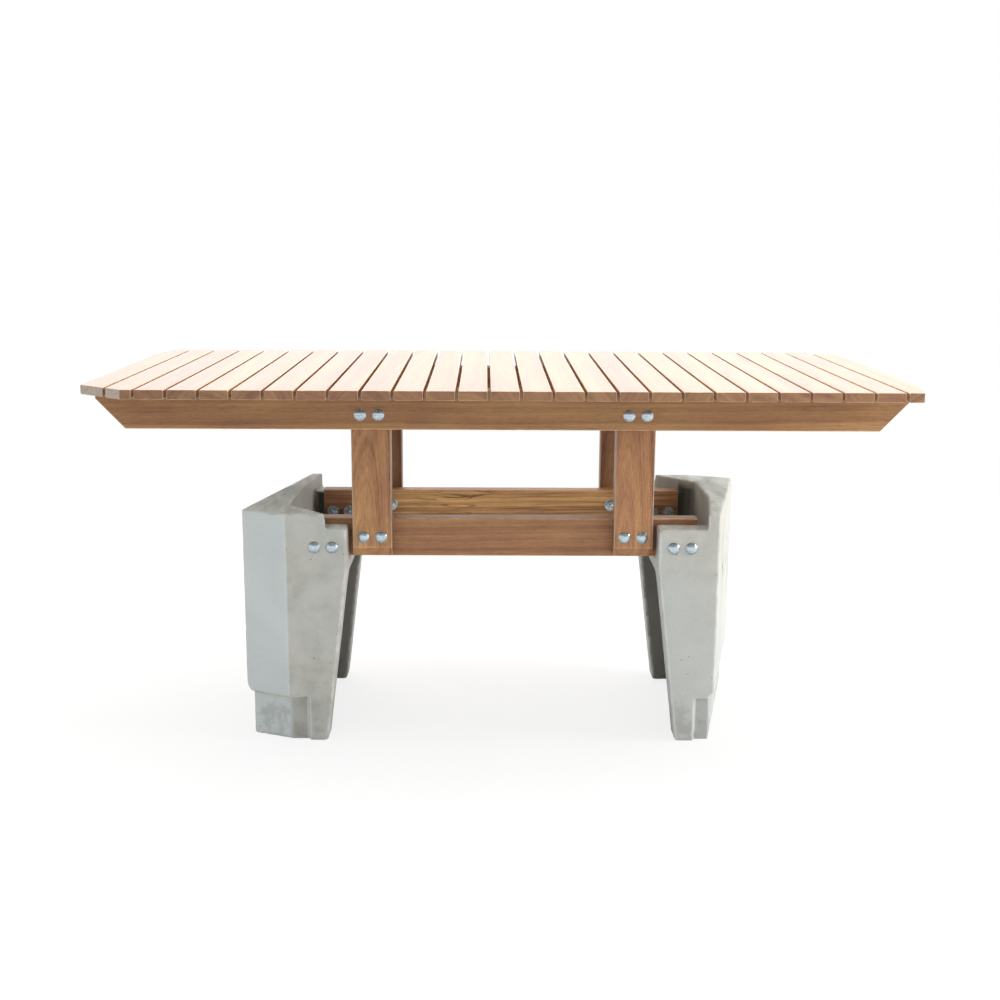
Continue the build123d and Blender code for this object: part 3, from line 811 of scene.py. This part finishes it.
def build_bolts(node):
    """Cup-head bolts, with their heads on the table's outside."""
    bm = bmesh.new()
    for low, high in islands(node):
        front = low.y < 0
        face = low.y + CUP_HEIGHT if front else high.y - CUP_HEIGHT
        outward = -Y_AXIS if front else Y_AXIS
        origin = Vector(((low.x + high.x) / 2, face, (low.z + high.z) / 2))
        lathe(bm, cup_bolt_profile(high.y - low.y - CUP_HEIGHT), origin, outward, 48)
    publish_zinc(bm, node, 40)


def build_washers():
    bm = bmesh.new()
    for low, high in islands("bolt_washers"):
        outer, inner, thick = (high.x - low.x) / 2, BOLT_HOLE_RADIUS, high.y - low.y
        rim = outer - STEEL_EASING
        radii = [inner, inner, rim, outer, outer, rim]
        depths = [0, thick, thick, thick - STEEL_EASING, STEEL_EASING, 0]
        origin = Vector(((low.x + high.x) / 2, low.y, (low.z + high.z) / 2))
        ring_solid(bm, origin, [[radius] * 40 for radius in radii], [[depth] * 40 for depth in depths])
    publish_zinc(bm, "bolt_washers", 30)


def ring_solid(bm, origin, radii, depths):
    """A ring about a line along Y, with a radius and a depth for every step of every loop."""
    steps = len(radii[0])
    rings = []
    for loop_radii, loop_depths in zip(radii, depths):
        ring = []
        for step, (radius, depth) in enumerate(zip(loop_radii, loop_depths)):
            angle = 2 * math.pi * step / steps
            offset = Vector((radius * math.cos(angle), depth, radius * math.sin(angle)))
            ring.append(bm.verts.new(origin + offset))
        rings.append(ring)
    join_rings(bm, rings, steps, closed=True)


def build_nuts():
    """Hexagon nuts. The chamfer leaves curved lines on the flats of both ends."""
    bm = bmesh.new()
    steps = 60
    flat = NUT_ACROSS_FLATS / 2
    hexagon = []
    for step in range(steps):
        angle = math.fmod(2 * math.pi * step / steps, math.pi / 3) - math.pi / 6
        hexagon.append(flat / math.cos(angle))
    crown = flat * 0.97
    drops = [(r - crown) * math.tan(math.radians(30)) for r in hexagon]
    bore = [BOLT_RADIUS] * steps
    for low, high in islands("bolt_nuts"):
        height = high.y - low.y
        origin = Vector(((low.x + high.x) / 2, low.y, (low.z + high.z) / 2))
        radii = [bore, bore, [crown] * steps, hexagon, hexagon, [crown] * steps]
        bottom, top = [0] * steps, [height] * steps
        depths = [bottom, top, top, [height - drop for drop in drops], drops, bottom]
        ring_solid(bm, origin, radii, depths)
    publish_zinc(bm, "bolt_nuts", 20)


def dress_screws():
    """The screws keep their CAD shape and take the zinc finish."""
    screws = NODES["slat_screws"]
    screws.data.materials.clear()
    screws.data.materials.append(ZINC)


# --- Studio ---------------------------------------------------------------------------------------------
def build_floor():
    """A pale floor whose shadows fade, and which turns plain white far from the table."""
    n = Nodes(bpy.data.materials.new("studio_floor"))
    place = n.add("TexCoord").outputs["Object"]
    shade = n.span(n.noise(place, 3.0), 0.3, 0.7, 0.80, 0.83)
    colour = n.add("CombineColor", {0: shade, 1: shade, 2: shade}).outputs[0]
    matt = n.add("BsdfDiffuse", {"Color": colour})
    glow = n.add("Emission", {"Color": (1, 1, 1, 1), "Strength": 1.0})
    away = n.add("VectorMath", {0: place}, operation="LENGTH").outputs["Value"]
    far = n.span(away, 1.0, 4.0, 0.80, 1.0)
    seen = n.add("LightPath").outputs["Is Camera Ray"]
    mixed = n.add("MixShader", {0: n.math("MULTIPLY", far, seen), 1: matt.outputs[0], 2: glow.outputs[0]})
    n.add("OutputMaterial", {"Surface": mixed.outputs[0]})
    mesh = bpy.data.meshes.new("floor")
    reach = 14.0
    corners = [(-reach, -reach, 0), (reach, -reach, 0), (reach, reach, 0), (-reach, reach, 0)]
    mesh.from_pydata(corners, [], [(0, 1, 2, 3)])
    mesh.materials.append(n.owner)
    floor = bpy.data.objects.new("floor", mesh)
    bpy.context.scene.collection.objects.link(floor)


def area_light(name, place, target, size, power, colour):
    data = bpy.data.lights.new(name, "AREA")
    data.shape = "RECTANGLE"
    data.size, data.size_y = size
    data.energy = power
    data.color = colour
    lamp = bpy.data.objects.new(name, data)
    bpy.context.scene.collection.objects.link(lamp)
    lamp.location = place
    lamp.rotation_euler = (Vector(target) - Vector(place)).to_track_quat("-Z", "Y").to_euler()


def build_light():
    """An even white dome. Reflections see it brighter behind the table, and darker high in front."""
    world = bpy.data.worlds.new("studio")
    bpy.context.scene.world = world
    n = Nodes(world)
    direction = n.add("SeparateXYZ", {0: n.add("TexCoord").outputs["Generated"]})
    front = n.span(direction.outputs["Y"], 0.25, -0.35)
    high = n.span(direction.outputs["Z"], 0.12, 0.35)
    high = n.math("MULTIPLY", high, n.span(direction.outputs["Z"], 0.95, 0.8))
    mirrored = n.span(n.math("MULTIPLY", front, high), 0.0, 1.0, 1.9, 0.45)
    glossy = n.add("LightPath").outputs["Is Glossy Ray"]
    strength = n.span(glossy, 0.0, 1.0, 1.0, mirrored, smooth=False)
    background = n.add("Background", {"Color": (1, 1, 1, 1), "Strength": strength})
    n.add("OutputWorld", {"Surface": background.outputs[0]})
    area_light("overhead", (0.2, 0.6, 3.4), (0, 0, 0.6), (4.5, 3.0), 150, (1.0, 0.95, 0.88))
    area_light("right", (4.5, -0.5, 1.8), (0.3, 0, 0.4), (1.6, 1.6), 150, (1.0, 1.0, 1.0))


def build_camera():
    data = bpy.data.cameras.new("camera")
    data.sensor_width = SENSOR_WIDTH
    data.lens = LENS
    camera = bpy.data.objects.new("camera", data)
    bpy.context.scene.collection.objects.link(camera)
    yaw, pitch, roll = (math.radians(angle) for angle in CAMERA_TURN)
    forward = Vector((math.sin(yaw) * math.cos(pitch), math.cos(yaw) * math.cos(pitch), -math.sin(pitch)))
    right = Vector((math.cos(yaw), -math.sin(yaw), 0))
    up = right.cross(forward)
    turned_right = right * math.cos(roll) + up * math.sin(roll)
    turned_up = up * math.cos(roll) - right * math.sin(roll)
    axes = Matrix((turned_right, turned_up, -forward)).transposed().to_4x4()
    camera.matrix_world = Matrix.Translation(CAMERA_PLACE) @ axes
    bpy.context.scene.camera = camera


build_slats()
build_rails()
build_posts()
build_leg("leg_left", 1.0)
build_leg("leg_right", 2.0)
for bolt_node in BOLT_NODES:
    build_bolts(bolt_node)
build_washers()
build_nuts()
dress_screws()
build_floor()
build_light()
build_camera()
bpy.context.scene.view_settings.view_transform = "Standard"
bpy.context.view_layer.update()
